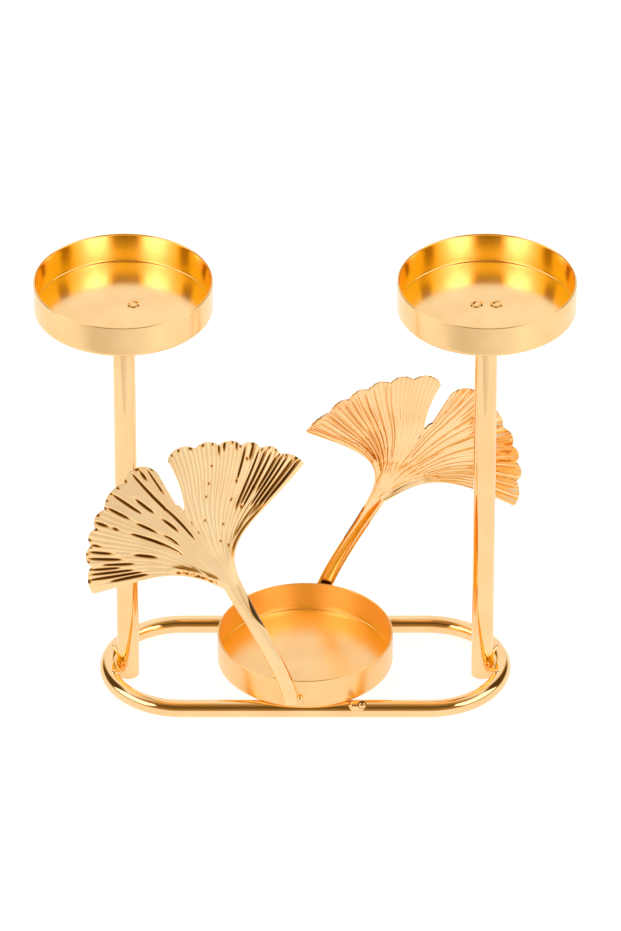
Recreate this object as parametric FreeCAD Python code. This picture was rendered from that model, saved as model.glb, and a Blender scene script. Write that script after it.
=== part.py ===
import FreeCAD, Part
import math
import os

Vector = FreeCAD.Vector

# Cups: three equal trays, each pressed from one sheet, for pillar candles
cup_diameter = 80.0
cup_height = 15.0
cup_sheet = 0.8
cup_corner_radius = 1.6

# Base ring: one round rod bent to a long oval, with its ends welded together
ring_length = 188.0
ring_depth = 76.0
rod_diameter = 8.0
butt_weld_width = 2.0

# Posts: upright tubes that stand inside the ring's ends
post_diameter = 10.0
post_wall = 1.0
rim_height = 212.0

# Welds: the gap that a bead bridges, and the sizes of the beads
root_gap = 0.1
foot_bead_radius = 2.8
foot_bead_inset = 2.0
foot_bead_start = 3.4
foot_bead_length = 5.0
collar_bead_leg = 2.0
floor_mark_radius = 1.8
floor_mark_height = 0.4
left_mark_angles = (0.0,)
right_mark_angles = (0.0, 180.0)
tack_offset = 25.0
tack_length = 4.0
tack_radius = 2.0
tack_sink = 1.0
stem_bead_radius = 1.3

# Leaf blade: a fan with two lobes about its base, bent back on both sides of its middle line
leaf_sheet = 1.0
leaf_bend_radius = 141.0
leaf_turn = 12.4
leaf_lean = 8.7
leaf_slant = -11.0
notch_angle = -17.5
notch_reach = 44.5
notch_tip_radius = 1.6
notch_inner_pull = Vector(-10.8, 55.0, 0.0)
inner_corner_reach = 70.8
inner_margin_reach = 74.5
inner_tip_reach = 63.9
outer_corner_reach = 62.5
outer_margin_reach = 75.5
outer_tip_reach = 61.6
tip_drop = 0.5
margin_power = 1.25
scallop_depth = 2.2
inner_scallop_angles = (-11.6, -0.8, 8.1, 16.7, 24.8, 33.4, 45.5)
outer_scallop_angles = (-18.3, -29.5, -42.5, -51.3, -58.7, -68.0, -80.9)
inner_edge_pull_near_tip = Vector(18.0, 28.1, 0.0)
inner_edge_pull_near_neck = Vector(-0.5, 25.4, 0.0)
outer_edge_pull_near_tip = Vector(-33.0, 14.5, 0.0)
outer_edge_pull_near_neck = Vector(-22.0, 18.0, 0.0)

# Leaf stem: a half-round channel from the blade's base down to the centre cup's wall
stem_foot_angle = 8.3
stem_foot_height = 11.5
stem_rise = 61.0
stem_side_reach = 26.7
stem_back_reach = 3.6
stem_rib = 9.0
stem_cover = 0.1
stem_neck_pull = 17.0
stem_foot_pull = Vector(-3.5, 0.0, 18.0)
stem_slim_from = 0.3
stem_slim_to = 0.65
neck_width = 8.4
neck_crown = 2.0
stem_width = 6.8
stem_crown = 3.2
foot_width = 7.2
foot_crown = 2.6
rib_width = 4.0
rib_crown = 1.3

# Places that follow from the sizes above
cup_radius = cup_diameter / 2
rod_radius = rod_diameter / 2
post_radius = post_diameter / 2
bend_radius = ring_depth / 2 - rod_radius
half_straight = (ring_length - ring_depth) / 2
post_x = ring_length / 2 - rod_diameter - root_gap - post_radius
upper_cup_z = rim_height - cup_height
centre_cup_z = rod_diameter + root_gap
up = Vector(0, 0, 1)


def polar(reach, angle):
    """Point of the leaf's plane at a reach from its base, at an angle from the middle line."""
    turn = math.radians(angle)
    return Vector(reach * math.sin(turn), reach * math.cos(turn), 0)


def line(start, end):
    return Part.LineSegment(start, end).toShape()


def arc(start, middle, end):
    return Part.Arc(start, middle, end).toShape()


def bezier(*poles):
    curve = Part.BezierCurve()
    curve.setPoles(list(poles))
    return curve.toShape()


def cup(x, z):
    """Tray turned about its own axis: flat floor, rounded corner, upright wall."""
    inner_radius = cup_radius - cup_sheet
    corner_centre = Vector(cup_radius - cup_corner_radius, 0, cup_corner_radius)
    diagonal = Vector(math.sqrt(0.5), 0, -math.sqrt(0.5))
    inner_corner_radius = cup_corner_radius - cup_sheet
    outer_start = Vector(corner_centre.x, 0, 0)
    outer_end = Vector(cup_radius, 0, cup_corner_radius)
    inner_start = Vector(inner_radius, 0, cup_corner_radius)
    inner_end = Vector(corner_centre.x, 0, cup_sheet)
    outer_rim = Vector(cup_radius, 0, cup_height)
    inner_rim = Vector(inner_radius, 0, cup_height)
    floor_top = Vector(0, 0, cup_sheet)
    edges = [
        line(Vector(0, 0, 0), outer_start),
        arc(outer_start, corner_centre + diagonal * cup_corner_radius, outer_end),
        line(outer_end, outer_rim),
        line(outer_rim, inner_rim),
        line(inner_rim, inner_start),
        arc(inner_start, corner_centre + diagonal * inner_corner_radius, inner_end),
        line(inner_end, floor_top),
        line(floor_top, Vector(0, 0, 0)),
    ]
    tray = Part.Face(Part.Wire(edges)).revolve(Vector(0, 0, 0), up, 360)
    tray.translate(Vector(x, 0, z))
    return tray


def ring_rod():
    """Rod swept round the oval from one side of the butt weld to the other."""
    back_start = Vector(butt_weld_width / 2, bend_radius, rod_radius)
    back_end = Vector(-butt_weld_width / 2, bend_radius, rod_radius)
    corners = {}
    for side in (-1, 1):
        corners[side, 1] = Vector(side * half_straight, bend_radius, rod_radius)
        corners[side, -1] = Vector(side * half_straight, -bend_radius, rod_radius)
        corners[side, 0] = Vector(side * (half_straight + bend_radius), 0, rod_radius)
    path = Part.Wire([
        line(back_start, corners[1, 1]),
        arc(corners[1, 1], corners[1, 0], corners[1, -1]),
        line(corners[1, -1], corners[-1, -1]),
        arc(corners[-1, -1], corners[-1, 0], corners[-1, 1]),
        line(corners[-1, 1], back_end),
    ])
    section = Part.Wire(Part.Circle(back_start, Vector(1, 0, 0), rod_radius).toShape())
    return path.makePipeShell([section], True, True)


def ring_butt_weld():
    """Flush joint between the rod's two ends, in the middle of the rear bar."""
    start = Vector(-butt_weld_width / 2, bend_radius, rod_radius)
    return Part.makeCylinder(rod_radius, butt_weld_width, start, Vector(1, 0, 0))


def post(x):
    """Open tube from the table to the underside of its cup."""
    foot = Vector(x, 0, 0)
    tube = Part.makeCylinder(post_radius, upper_cup_z, foot)
    return tube.cut(Part.makeCylinder(post_radius - post_wall, upper_cup_z, foot))


def bead(start, end, radius, *neighbours):
    """Run of weld metal with round ends, cut to the faces of the pieces that it joins."""
    run = Part.makeSphere(radius, start)
    length = (end - start).Length
    if length > 0:
        run = run.fuse([Part.makeSphere(radius, end), Part.makeCylinder(radius, length, start, end - start)])
    for neighbour in neighbours:
        run = run.cut(neighbour)
    return max(run.Solids, key=lambda solid: solid.Volume)


def foot_weld(x, tube, ring):
    """Front and rear beads in the groove between a post and the ring's end."""
    side = math.copysign(1, x)
    reach = bend_radius - foot_bead_inset
    beads = []
    for depth in (-1, 1):
        ends = []
        for run in (foot_bead_start, foot_bead_start + foot_bead_length):
            turn = run / reach
            across = side * (half_straight + reach * math.cos(turn))
            ends.append(Vector(across, depth * reach * math.sin(turn), rod_diameter - foot_bead_radius))
        beads.append(bead(*ends, foot_bead_radius, tube, ring))
    return Part.makeCompound(beads)


def cup_weld(x, mark_angles):
    """Fillet under a cup round the top of its post, and its marks on the cup's floor."""
    top = upper_cup_z
    corner = Vector(post_radius, 0, top)
    out = Vector(post_radius + collar_bead_leg, 0, top)
    down = Vector(post_radius, 0, top - collar_bead_leg)
    fillet = Part.Face(Part.Wire([line(corner, out), line(out, down), line(down, corner)]))
    solids = [fillet.revolve(Vector(0, 0, 0), up, 360)]
    dome_radius = (floor_mark_radius ** 2 + floor_mark_height ** 2) / (2 * floor_mark_height)
    floor = top + cup_sheet
    for angle in mark_angles:
        turn = math.radians(angle)
        reach = post_radius - post_wall / 2
        foot = Vector(reach * math.cos(turn), reach * math.sin(turn), floor)
        dome = Part.makeSphere(dome_radius, foot + up * (floor_mark_height - dome_radius))
        solids.append(dome.common(Part.makeCylinder(dome_radius, floor_mark_height, foot)))
    weld = Part.makeCompound(solids)
    weld.translate(Vector(x, 0, 0))
    return weld


def tack_welds(tray, ring):
    """Front and rear beads between the centre cup's lower edge and the long bars of the ring."""
    beads = []
    for depth in (-1, 1):
        ends = []
        for run in (-tack_length / 2, tack_length / 2):
            across = tack_offset + run
            ends.append(Vector(-depth * across, depth * (bend_radius + tack_sink), rod_diameter - tack_sink))
        beads.append(bead(*ends, tack_radius, tray, ring))
    return Part.makeCompound(beads)


def leaf_axes():
    """Across, along and outward directions of the front leaf's blade at its base."""
    turn = math.radians(leaf_turn)
    lean = math.radians(leaf_lean)
    slant = math.radians(leaf_slant)
    outward = Vector(math.sin(turn) * math.cos(lean), -math.cos(turn) * math.cos(lean), math.sin(lean))
    upright = (up - outward * outward.z).normalize()
    along = upright * math.cos(slant) + upright.cross(outward) * math.sin(slant)
    across = along.cross(outward)
    return across, along, outward


def stem_foot():
    """Foot of the front leaf's stem, at the centre cup's wall."""
    turn = math.radians(stem_foot_angle)
    reach = cup_radius + root_gap
    return Vector(-reach * math.sin(turn), -reach * math.cos(turn), stem_foot_height)


def leaf_base():
    return stem_foot() + Vector(-stem_side_reach, stem_back_reach, stem_rise)


def scallops(angles, corner_reach, margin_reach, tip_reach):
    """Row of round scallops along a lobe's margin, from its corner at the notch to its tip."""
    fall = margin_reach - tip_reach - tip_drop

    def margin(angle, drop):
        share = (angle - angles[0]) / (angles[-1] - angles[0])
        return polar(margin_reach - fall * share ** margin_power - drop, angle)

    valleys = [margin(angle, scallop_depth) for angle in angles[1:-1]]
    ends = [polar(corner_reach, angles[0]), *valleys, margin(angles[-1], tip_drop)]
    edges = []
    for number, (first, last) in enumerate(zip(ends, ends[1:])):
        middle = (angles[number] + angles[number + 1]) / 2
        edges.append(arc(first, margin(middle, 0), last))
    return edges


def neck_corner(side):
    """Corner of the blade where it runs into the stem, on the inner or the outer edge."""
    across, along, outward = leaf_axes()
    down = stem_direction()
    flat = Vector(down.dot(across), down.dot(along), 0).normalize()
    return Vector(-flat.y, flat.x, 0) * (side * neck_width / 2)


def stem_direction():
    """Direction in which the stem leaves the blade, tangent to the blade."""
    across, along, outward = leaf_axes()
    drop = stem_foot() - leaf_base()
    return (drop - outward * drop.dot(outward)).normalize()


def blade_outline():
    """Closed outline of the blade in its own plane, with the base at the origin."""
    inner_corner = polar(inner_corner_reach, inner_scallop_angles[0])
    inner_tip = polar(inner_tip_reach, inner_scallop_angles[-1])
    outer_corner = polar(outer_corner_reach, outer_scallop_angles[0])
    outer_tip = polar(outer_tip_reach, outer_scallop_angles[-1])
    cross = polar(notch_tip_radius, notch_angle + 90)
    notch_centre = polar(notch_reach + notch_tip_radius, notch_angle)
    notch_tip = polar(notch_reach, notch_angle)
    edges = [bezier(neck_corner(1), inner_edge_pull_near_neck, inner_edge_pull_near_tip, inner_tip)]
    edges += scallops(inner_scallop_angles, inner_corner_reach, inner_margin_reach, inner_tip_reach)
    edges.append(bezier(inner_corner, notch_inner_pull, notch_centre + cross))
    edges.append(arc(notch_centre + cross, notch_tip, notch_centre - cross))
    edges.append(line(notch_centre - cross, outer_corner))
    edges += scallops(outer_scallop_angles, outer_corner_reach, outer_margin_reach, outer_tip_reach)
    edges.append(bezier(outer_tip, outer_edge_pull_near_tip, outer_edge_pull_near_neck, neck_corner(-1)))
    edges.append(line(neck_corner(-1), neck_corner(1)))
    return Part.Wire(Part.__sortEdges__(edges))


def blade():
    """Sheet of the outline's shape, bent round an axis behind the leaf."""
    reach = max(inner_margin_reach, outer_margin_reach)
    half_angle = math.degrees(math.asin(reach / leaf_bend_radius))
    axis = Vector(0, 0, -leaf_bend_radius)
    along = Vector(0, 1, 0)
    corners = [(-reach, -leaf_sheet), (reach, -leaf_sheet), (reach, 0), (-reach, 0), (-reach, -leaf_sheet)]
    strip = Part.Face(Part.makePolygon([Vector(0, y, z) for y, z in corners]))
    strip.rotate(axis, along, -half_angle)
    sheet = strip.revolve(axis, along, 2 * half_angle)
    prism = Part.Face(blade_outline()).extrude(Vector(0, 0, -reach))
    prism.translate(Vector(0, 0, leaf_sheet))
    pressing = sheet.common(prism).Solids[0]
    across, upward, outward = leaf_axes()
    base = leaf_base()
    pressing.Placement = FreeCAD.Placement(FreeCAD.Matrix(
        across.x, upward.x, outward.x, base.x,
        across.y, upward.y, outward.y, base.y,
        across.z, upward.z, outward.z, base.z,
        0, 0, 0, 1,
    ))
    return pressing


def stem_sections():
    """Place, direction, width and crown of the stem from its rib on the blade to its foot."""
    across, along, outward = leaf_axes()
    foot = stem_foot()
    wall_normal = Vector(foot.x, foot.y, 0).normalize()
    start = leaf_base() - outward * (leaf_sheet - stem_cover)
    down = stem_direction()
    poles = [start, start + down * stem_neck_pull, foot + stem_foot_pull, foot]
    sections = [(start - down * stem_rib, down, outward, rib_width, rib_crown)]
    path = Part.BezierCurve()
    path.setPoles(poles)
    sizes = (
        (0.0, neck_width, neck_crown),
        (stem_slim_from, stem_width, stem_crown),
        (stem_slim_to, stem_width, stem_crown),
        (1.0, foot_width, foot_crown),
    )
    for share, width, crown in sizes:
        facing = outward * (1 - share) + wall_normal * share
        sections.append((path.value(share), path.tangent(share)[0], facing, width, crown))
    return sections


def half_round(place, direction, facing, width, crown, base_drop=0.0):
    """D-shaped section: a flat base and a round crown on the outward side."""
    direction = direction.normalize()
    facing = (facing - direction * facing.dot(direction)).normalize()
    side = direction.cross(facing)
    left = place - side * (width / 2) - facing * base_drop
    right = place + side * (width / 2) - facing * base_drop
    return Part.Wire([line(left, right), arc(right, place + facing * crown, left)])


def stem():
    """Half-round stem, hollow on its inner side below the neck."""
    sections = stem_sections()
    outer = Part.makeLoft([half_round(*section) for section in sections], True)
    foot, direction, *foot_shape = sections[-1]
    past_foot = (foot + direction * leaf_sheet, direction, *foot_shape)
    hollow = []
    for place, direction, facing, width, crown in (*sections[1:], past_foot):
        inner_width = width - 2 * leaf_sheet
        inner_crown = crown - leaf_sheet
        hollow.append(half_round(place, direction, facing, inner_width, inner_crown, leaf_sheet))
    return outer.cut(Part.makeLoft(hollow, True))


def leaf():
    return blade().fuse(stem()).removeSplitter()


def stem_weld(pressing, tray):
    """Beads on both sides of the stem's foot, against the cup's wall."""
    foot = stem_foot()
    wall_normal = Vector(foot.x, foot.y, 0).normalize()
    side = up.cross(wall_normal)
    beads = []
    for hand in (-1, 1):
        lower = foot + side * (hand * foot_width / 2) + wall_normal * stem_bead_radius / 2
        upper = lower + up * (2 * stem_bead_radius)
        beads.append(bead(lower + up * stem_bead_radius, upper, stem_bead_radius, pressing, tray))
    return Part.makeCompound(beads)


def turned(shape):
    """The same piece on the other side of the holder."""
    other = shape.copy()
    other.rotate(Vector(0, 0, 0), up, 180)
    return other


nodes = {
    "base_ring": ring_rod(),
    "ring_butt_weld": ring_butt_weld(),
    "centre_cup": cup(0, centre_cup_z),
    "front_leaf": leaf(),
}
for hand, x, mark_angles in (("left", -post_x, left_mark_angles), ("right", post_x, right_mark_angles)):
    nodes[hand + "_post"] = post(x)
    nodes[hand + "_cup"] = cup(x, upper_cup_z)
    nodes[hand + "_foot_weld"] = foot_weld(x, nodes[hand + "_post"], nodes["base_ring"])
    nodes[hand + "_cup_weld"] = cup_weld(x, mark_angles)
nodes["centre_cup_tack_welds"] = tack_welds(nodes["centre_cup"], nodes["base_ring"])
nodes["front_stem_weld"] = stem_weld(nodes["front_leaf"], nodes["centre_cup"])
nodes["rear_leaf"] = turned(nodes["front_leaf"])
nodes["rear_stem_weld"] = turned(nodes["front_stem_weld"])

os.makedirs("parts", exist_ok=True)
for name, shape in nodes.items():
    shape.exportStep("parts/" + name + ".step")
    print(name, "solids", len(shape.Solids), "volume", round(shape.Volume, 1), "valid", shape.isValid())
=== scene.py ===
"""Looks of a three-cup candle holder: plated finishes, stamped leaves, spun cups and weld beads on its frame."""

import math

import bmesh
import bpy
import numpy as np
from bpy.props import FloatProperty, FloatVectorProperty, IntProperty, PointerProperty
from mathutils import Matrix, Vector, noise


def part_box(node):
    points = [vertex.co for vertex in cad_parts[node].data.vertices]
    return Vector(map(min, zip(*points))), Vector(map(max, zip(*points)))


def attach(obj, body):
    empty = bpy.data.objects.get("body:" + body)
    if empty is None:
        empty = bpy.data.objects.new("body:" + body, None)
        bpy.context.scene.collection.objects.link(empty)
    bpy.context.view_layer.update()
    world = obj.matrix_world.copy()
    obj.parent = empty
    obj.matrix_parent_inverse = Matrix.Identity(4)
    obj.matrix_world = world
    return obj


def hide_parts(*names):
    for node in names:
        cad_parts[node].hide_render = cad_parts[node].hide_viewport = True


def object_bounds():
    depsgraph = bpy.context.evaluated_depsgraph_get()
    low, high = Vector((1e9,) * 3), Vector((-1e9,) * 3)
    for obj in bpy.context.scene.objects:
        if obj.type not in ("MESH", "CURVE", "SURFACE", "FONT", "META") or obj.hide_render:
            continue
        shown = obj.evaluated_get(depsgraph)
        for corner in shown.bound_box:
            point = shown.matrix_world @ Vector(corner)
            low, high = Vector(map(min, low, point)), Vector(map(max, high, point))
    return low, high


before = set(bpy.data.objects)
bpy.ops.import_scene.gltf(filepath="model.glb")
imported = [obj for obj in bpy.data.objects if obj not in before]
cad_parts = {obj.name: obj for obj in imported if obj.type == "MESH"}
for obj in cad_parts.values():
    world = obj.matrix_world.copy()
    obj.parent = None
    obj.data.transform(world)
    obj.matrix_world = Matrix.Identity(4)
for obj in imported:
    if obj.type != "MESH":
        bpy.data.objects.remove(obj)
cad_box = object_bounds()

bl_info = {
    "name": "Ginkgo Candle Holder",
    "version": (1, 0, 0),
    "blender": (4, 5, 0),
    "location": "3D View > Sidebar > Holder",
    "description": "Builds the plated pieces, weld beads and studio of a three-cup candle holder",
    "category": "Object",
}

MM = 0.001
BODY = "root"
UP = np.array((0.0, 0.0, 1.0))
HANDS = {"left": -1, "right": 1}
# Mesh attribute of painted shade: 0 for none, 0.5 for the orange tone, 1 for the brown one
PAINTED_SHADE = "groove"


def length(name, description, millimetres):
    """Property for a length, given in millimetres."""
    return FloatProperty(name=name, description=description, default=millimetres * MM, unit="LENGTH", precision=5)


def turn(name, description, degrees):
    """Property for an angle, given in degrees."""
    return FloatProperty(name=name, description=description, default=math.radians(degrees), subtype="ANGLE")


def share(name, description, default):
    """Property for a plain number."""
    return FloatProperty(name=name, description=description, default=default, precision=4)


def spot(name, description, *millimetres):
    """Property for a place or a pull, given in millimetres."""
    place = [value * MM for value in millimetres]
    return FloatVectorProperty(name=name, description=description, default=place, size=len(place), unit="LENGTH")


def turns(name, description, *degrees):
    """Property for a row of angles, given in degrees."""
    angles = [math.radians(value) for value in degrees]
    return FloatVectorProperty(name=name, description=description, default=angles, size=len(angles))


def colour(name, description, *linear):
    return FloatVectorProperty(name=name, description=description, default=linear, size=3, subtype="COLOR")


class HolderFinishes(bpy.types.PropertyGroup):
    """Colours and polish of the plated steel, and the tones of its painted shade."""

    bright_gold: colour("Bright gold", "Plating on the rod and the posts", 0.95, 0.645, 0.33)
    leaf_gold: colour("Leaf gold", "Plating on the leaves", 0.95, 0.67, 0.355)
    cup_gold: colour("Cup gold", "Plating on the pressed cups", 0.95, 0.645, 0.31)
    # Painted bounce light: deeper tones inside the cups' walls, where the gold walls mirror each other
    painted_bounce_gold: colour("Deep gold", "Plating inside the cups' walls", 0.96, 0.63, 0.31)
    # Painted shade: the low cup takes a darker, more orange copy of the cups' plating
    low_painted_shade_gold: colour("Low gold", "Plating on the low cup", 0.93, 0.61, 0.28)
    low_painted_bounce_gold: colour("Low deep gold", "Plating inside the low cup's wall", 1.0, 0.64, 0.25)
    bead_gold: colour("Bead gold", "Plating over the weld beads", 0.93, 0.62, 0.3)
    # Painted shade: these two tones darken the leaves' stamped dashes, pits, edge bands and margins, a line on each
    # stem and a ring on each weld button
    painted_shade_brown: colour("Groove brown", "Tone in the bottoms of the deep grooves", 0.08, 0.04, 0.01)
    painted_shade_orange: colour("Groove orange", "Tone in the shallow grooves", 0.74, 0.32, 0.06)
    bright_roughness: share("Bright roughness", "Roughness of the polished plating", 0.05)
    leaf_roughness: share("Leaf roughness", "Roughness of the stamped leaves", 0.08)
    upper_cup_roughness: share("Upper cup roughness", "Roughness of the two high cups", 0.19)
    centre_cup_roughness: share("Centre cup roughness", "Roughness of the low cup", 0.3)
    wall_polish: share("Wall polish", "Roughness inside an upper cup's wall as a share of its floor's", 0.5)
    bead_roughness: share("Bead roughness", "Roughness of the weld beads", 0.2)


class HolderCups(bpy.types.PropertyGroup):
    """Sheet and roundings of the pressed cups and the posts."""

    sheet: length("Sheet", "Thickness of the cups' sheet", 0.8)
    corner: length("Corner", "Outer radius between floor and wall", 1.6)
    inner_corner: length("Inner corner", "Inner radius between floor and wall", 0.4)
    crown: length("Crown", "How far the floor's middle stands over its edge", 1.6)
    crown_power: share("Crown power", "How close to the wall the floor falls", 3.0)
    post_wall: length("Post wall", "Wall of the post's tube", 1.0)


class HolderWelds(bpy.types.PropertyGroup):
    """Weld beads between the pieces."""

    foot_radius: length("Foot bead radius", "Bead between a post and the ring", 1.6)
    foot_start: spot("Foot bead start", "Along the ring, inside its rod's line and up", 8.0, 4.0, 6.0)
    foot_end: spot("Foot bead end", "Along the ring, inside its rod's line and up", 11.0, 1.2, 7.1)
    seam: spot("Seam", "Half run, inset and height of the fillet between a post and the ring", 8.5, 3.3, 6.1)
    seam_radius: length("Seam radius", "Radius of that fillet at its middle", 1.5)
    collar_leg: length("Collar leg", "Leg of the fillet under an upper cup", 2.0)
    mark_radius: length("Mark radius", "Reach of a weld mark on a cup's floor", 4.0)
    mark_height: length("Mark height", "Height of a weld mark on a cup's floor", 0.65)
    tack_offset: length("Tack offset", "Middle of the tack from the holder's middle", 23.6)
    tack_length: length("Tack length", "Run of the tack along the bar", 4.0)
    tack_radius: length("Tack radius", "Half of the tack's thickness", 2.2)
    tack_lead: length("Tack lead", "How far the tack lies before the bar's line", 1.6)
    tack_sink: length("Tack sink", "How far the tack's line lies below the bar's top", 1.7)
    button_offset: length("Button offset", "Middle of the round bead from the holder's middle", 25.8)
    button_radius: length("Button radius", "Radius of the round bead", 2.0)
    button_lead: length("Button lead", "How far the round bead lies before the bar's line", 3.0)
    stem_radius: length("Stem bead radius", "Bead beside a stem's foot", 1.3)


class HolderLeaf(bpy.types.PropertyGroup):
    """Outline, bend, veins and stem of the stamped ginkgo leaf."""

    sheet: length("Sheet", "Thickness of the blade", 1.0)
    bend_radius: length("Bend radius", "Radius that the blade is bent to", 141.0)
    turn: turn("Turn", "Turn of the blade about the upright", 12.4)
    lean: turn("Lean", "Lean of the blade away from the upright", 8.7)
    slant: turn("Slant", "Slant of the blade's middle line", -11.0)
    notch_angle: turn("Notch angle", "Direction of the notch between the lobes", -17.5)
    notch_reach: length("Notch reach", "Bottom of the notch from the base", 44.5)
    notch_tip_radius: length("Notch tip radius", "Rounding at the bottom of the notch", 1.6)
    notch_pull: spot("Notch pull", "Pull on the inner side of the notch", -10.8, 55.0)
    inner_corner_reach: length("Inner corner reach", "Inner lobe's corner at the notch", 70.8)
    inner_margin_reach: length("Inner margin reach", "Crest of the inner lobe's margin", 74.5)
    inner_tip_reach: length("Inner tip reach", "Tip of the inner lobe", 63.9)
    outer_corner_reach: length("Outer corner reach", "Outer lobe's corner at the notch", 62.5)
    outer_margin_reach: length("Outer margin reach", "Crest of the outer lobe's margin", 75.5)
    outer_tip_reach: length("Outer tip reach", "Tip of the outer lobe", 61.6)
    tip_drop: length("Tip drop", "Last fall of the margin at a lobe's tip", 0.5)
    margin_power: share("Margin power", "How late the margin falls towards the tip", 1.25)
    scallop_depth: length("Scallop depth", "Depth of the valleys in the margin", 2.2)
    inner_valleys: turns("Inner valleys", "Ends of the inner scallops", -11.6, -0.8, 8.1, 16.7, 24.8, 33.4, 45.5)
    outer_valleys: turns("Outer valleys", "Ends of the outer scallops", -18.3, -29.5, -42.5, -51.3, -58.7, -68.0, -80.9)
    inner_pull_tip: spot("Inner pull at the tip", "Pull on the inner edge near its tip", 18.0, 28.1)
    inner_pull_neck: spot("Inner pull at the neck", "Pull on the inner edge near the neck", -0.5, 25.4)
    outer_pull_tip: spot("Outer pull at the tip", "Pull on the outer edge near its tip", -33.0, 14.5)
    outer_pull_neck: spot("Outer pull at the neck", "Pull on the outer edge near the neck", -22.0, 18.0)
    foot_angle: turn("Foot angle", "Place of the stem's foot round the centre cup", 8.3)
    foot_height: length("Foot height", "Height of the stem's foot", 11.5)
    foot_gap: length("Foot gap", "Gap between the stem's foot and the cup", 0.1)
    stem_reach: spot("Stem reach", "Blade's base from the stem's foot", -26.7, 3.6, 61.0)
    stem_cover: length("Stem cover", "Sheet left over the stem's base line", 0.1)
    neck_pull: length("Neck pull", "Pull along the stem at the neck", 17.0)
    foot_pull: spot("Foot pull", "Pull on the stem above its foot", -3.5, 0.0, 18.0)
    slim_from: share("Slim from", "Where the stem becomes slim", 0.3)
    slim_to: share("Slim to", "Where the stem widens to its foot", 0.65)
    neck_width: length("Neck width", "Width at the neck", 8.4)
    neck_crown: length("Neck crown", "Crown at the neck", 2.0)
    stem_width: length("Stem width", "Width of the slim stem", 6.8)
    stem_crown: length("Stem crown", "Crown of the slim stem", 3.2)
    foot_width: length("Foot width", "Width of the stem's foot", 7.2)
    foot_crown: length("Foot crown", "Crown of the stem's foot", 2.6)
    trough: share("Trough", "Depth of the stem's trough as a share of its crown", 0.42)
    inner_veins: IntProperty(name="Inner veins", description="Fine veins at the inner lobe's margin", default=32)
    outer_veins: IntProperty(name="Outer veins", description="Fine veins at the outer lobe's margin", default=28)
    inner_slope: share("Inner vein slope", "Height of an inner vein as a share of the veins' spacing", 0.055)
    outer_slope: share("Outer vein slope", "Height of an outer vein as a share of the veins' spacing", 0.015)
    dash_depth: length("Dash depth", "Depth of a stamped dash", 0.45)
    dash_width: length("Dash width", "Half of a stamped dash's width", 0.52)
    pit_depth: length("Pit depth", "Depth of a round pit", 0.35)
    pit_radius: length("Pit radius", "Radius of a round pit", 0.6)
    crinkle_height: length("Crinkle height", "Height of the crinkles inside the outer lobe's margin", 0.3)
    roll_height: length("Roll height", "Height of the roll beside the blade's edges", 0.7)
    roll_inset: length("Roll inset", "From the edge to the roll's crest", 2.6)
    roll_width: length("Roll width", "Half of the roll's width", 1.2)


class HolderStage(bpy.types.PropertyGroup):
    """Camera, table and light."""

    camera_distance: length("Camera distance", "From the aim to the camera", 4000.0)
    camera_elevation: turn("Camera elevation", "Camera's height above the horizon", 33.27)
    camera_aim: spot("Camera aim", "Point in the middle of the picture", 2.4, 0.0, 113.67)
    camera_lens: share("Camera lens", "Focal length in millimetres on a 36 mm sensor", 343.2)
    table_front: length("Table front", "From the holder's middle to the table's front edge", 226.0)
    table_reach: length("Table reach", "From the middle to the table's far sides", 800.0)
    dome_radius: length("Dome radius", "Radius of the studio's dome", 18000.0)


GROUPS = {
    "holder_finishes": HolderFinishes,
    "holder_cups": HolderCups,
    "holder_welds": HolderWelds,
    "holder_leaf": HolderLeaf,
    "holder_stage": HolderStage,
}


class Signal:
    """A node's output that takes part in Python expressions: each operation adds one Math node."""

    def __init__(self, board, socket):
        self.board = board
        self.socket = socket

    def math(self, operation, *others):
        return self.board.add("ShaderNodeMath", {"operation": operation}, dict(enumerate((self, *others))))

    def reflected(self, operation, other):
        return self.board.add("ShaderNodeMath", {"operation": operation}, {0: other, 1: self})

    def __add__(self, other):
        return self.math("ADD", other)

    def __mul__(self, other):
        return self.math("MULTIPLY", other)

    def __sub__(self, other):
        return self.math("SUBTRACT", other)

    def __truediv__(self, other):
        return self.math("DIVIDE", other)

    def __rsub__(self, other):
        return self.reflected("SUBTRACT", other)

    def __rtruediv__(self, other):
        return self.reflected("DIVIDE", other)

    def __abs__(self):
        return self.math("ABSOLUTE")

    __radd__ = __add__
    __rmul__ = __mul__


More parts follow.
